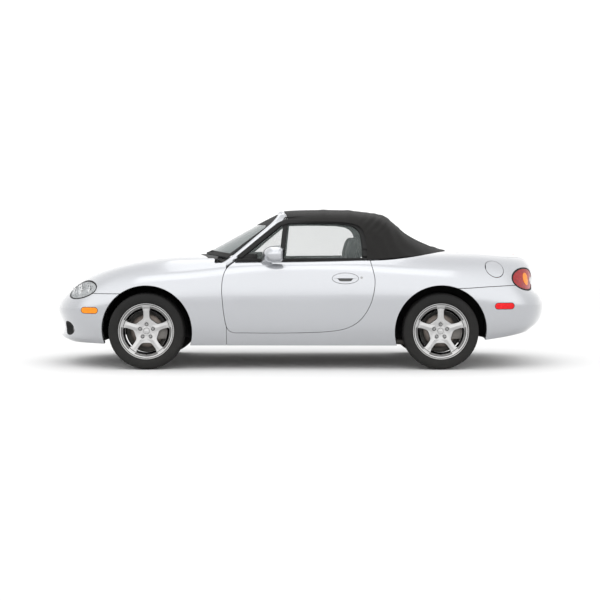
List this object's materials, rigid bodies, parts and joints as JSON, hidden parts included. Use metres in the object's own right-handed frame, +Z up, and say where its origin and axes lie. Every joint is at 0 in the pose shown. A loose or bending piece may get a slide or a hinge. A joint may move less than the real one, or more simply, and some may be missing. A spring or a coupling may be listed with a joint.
{
  "type": "convertible car",
  "caption": "Small two-seat open car with its cloth hood raised, long bonnet, short boot and alloy wheels.",
  "frame": {"origin": "on the ground, midway between the bumper ends and midway between the two sides", "axes": "+X forward towards the nose, +Y to the car's left, +Z up"},
  "size_m": [3.9485, 1.9174, 1.2425],
  "materials": {
    "silver_paint": "gloss",
    "underbody_paint": "satin",
    "black_plastic": "satin",
    "window_glass": "gloss",
    "hood_cloth": "matt",
    "headlamp_lens": "gloss",
    "tail_lamp_lens": "gloss",
    "cabin_plastic": "satin",
    "wheel_leather": "satin",
    "seat_cloth": "matt",
    "engine_alloy": "satin",
    "exhaust_steel": "satin",
    "suspension_iron": "matt",
    "tyre_rubber": "matt",
    "rim_alloy": "satin",
    "disc_iron": "satin"
  },
  "bodies": {
    "body": {"underbody": "underbody_paint", "rear_body": "silver_paint", "scuttle_panel": "black_plastic", "left_front_wing": "silver_paint", "right_front_wing": "silver_paint", "front_bumper": "silver_paint", "rear_bumper": "silver_paint", "windscreen_frame": "silver_paint", "windscreen": "window_glass", "soft_top": "hood_cloth", "rear_window": "window_glass", "headlamps": "headlamp_lens", "tail_lamps": "tail_lamp_lens", "dashboard": "cabin_plastic", "left_seat": "seat_cloth", "right_seat": "seat_cloth", "engine": "engine_alloy", "radiator": "black_plastic", "exhaust": "exhaust_steel", "front_suspension": "suspension_iron", "rear_suspension": "suspension_iron"},
    "bonnet": {"bonnet": "silver_paint"},
    "boot_lid": {"boot_lid": "silver_paint"},
    "fuel_flap": {"fuel_flap": "silver_paint"},
    "left_door": {"left_door": "silver_paint", "left_door_glass": "window_glass", "left_mirror": "silver_paint"},
    "right_door": {"right_door": "silver_paint", "right_door_glass": "window_glass", "right_mirror": "silver_paint"},
    "steering_wheel": {"steering_wheel": "wheel_leather"},
    "left_knuckle": {"left_front_knuckle": "suspension_iron"},
    "right_knuckle": {"right_front_knuckle": "suspension_iron"},
    "left_front_wheel": {"left_front_tyre": "tyre_rubber", "left_front_rim": "rim_alloy", "left_front_disc": "disc_iron"},
    "right_front_wheel": {"right_front_tyre": "tyre_rubber", "right_front_rim": "rim_alloy", "right_front_disc": "disc_iron"},
    "left_rear_wheel": {"left_rear_tyre": "tyre_rubber", "left_rear_rim": "rim_alloy", "left_rear_disc": "disc_iron"},
    "right_rear_wheel": {"right_rear_tyre": "tyre_rubber", "right_rear_rim": "rim_alloy", "right_rear_disc": "disc_iron"}
  },
  "joints": [
    {"name": "left_steer", "type": "hinge", "parent": "body", "child": "left_knuckle", "pos_m": [1.1825, 0.655, 0.295], "axis": [0, 0, 1], "range_deg": [-33, 33]},
    {"name": "right_steer", "type": "hinge", "parent": "body", "child": "right_knuckle", "pos_m": [1.1825, -0.655, 0.295], "axis": [0, 0, 1], "range_deg": [-33, 33]},
    {"name": "steering_wheel_turn", "type": "hinge", "parent": "body", "child": "steering_wheel", "pos_m": [0.225, 0.356, 0.69], "axis": [-0.9272, 0, 0.3746], "range_deg": [-495, 495]},
    {"name": "left_front_spin", "type": "hinge", "parent": "left_knuckle", "child": "left_front_wheel", "pos_m": [1.1825, 0.708, 0.295], "axis": [0, 1, 0], "continuous": true},
    {"name": "right_front_spin", "type": "hinge", "parent": "right_knuckle", "child": "right_front_wheel", "pos_m": [1.1825, -0.708, 0.295], "axis": [0, 1, 0], "continuous": true},
    {"name": "left_rear_spin", "type": "hinge", "parent": "body", "child": "left_rear_wheel", "pos_m": [-1.0825, 0.718, 0.295], "axis": [0, 1, 0], "continuous": true},
    {"name": "right_rear_spin", "type": "hinge", "parent": "body", "child": "right_rear_wheel", "pos_m": [-1.0825, -0.718, 0.295], "axis": [0, 1, 0], "continuous": true},
    {"name": "left_door_hinge", "type": "hinge", "parent": "body", "child": "left_door", "pos_m": [0.6, 0.826, 0.5], "axis": [0, 0, -1], "range_deg": [0, 65]},
    {"name": "right_door_hinge", "type": "hinge", "parent": "body", "child": "right_door", "pos_m": [0.6, -0.826, 0.5], "axis": [0, 0, 1], "range_deg": [0, 65]},
    {"name": "bonnet_hinge", "type": "hinge", "parent": "body", "child": "bonnet", "pos_m": [0.706, 0, 0.882], "axis": [0, -1, 0], "range_deg": [0, 52]},
    {"name": "boot_lid_hinge", "type": "hinge", "parent": "body", "child": "boot_lid", "pos_m": [-1.236, 0, 0.917], "axis": [0, 1, 0], "range_deg": [0, 75]},
    {"name": "fuel_flap_hinge", "type": "hinge", "parent": "body", "child": "fuel_flap", "pos_m": [-1.426, 0.742, 0.79], "axis": [0, 0.6157, -0.788], "range_deg": [0, 85]}
  ],
  "couplings": [
    {"joint": "right_steer", "follows": "left_steer", "ratio": 1},
    {"joint": "steering_wheel_turn", "follows": "left_steer", "ratio": 15}
  ]
}
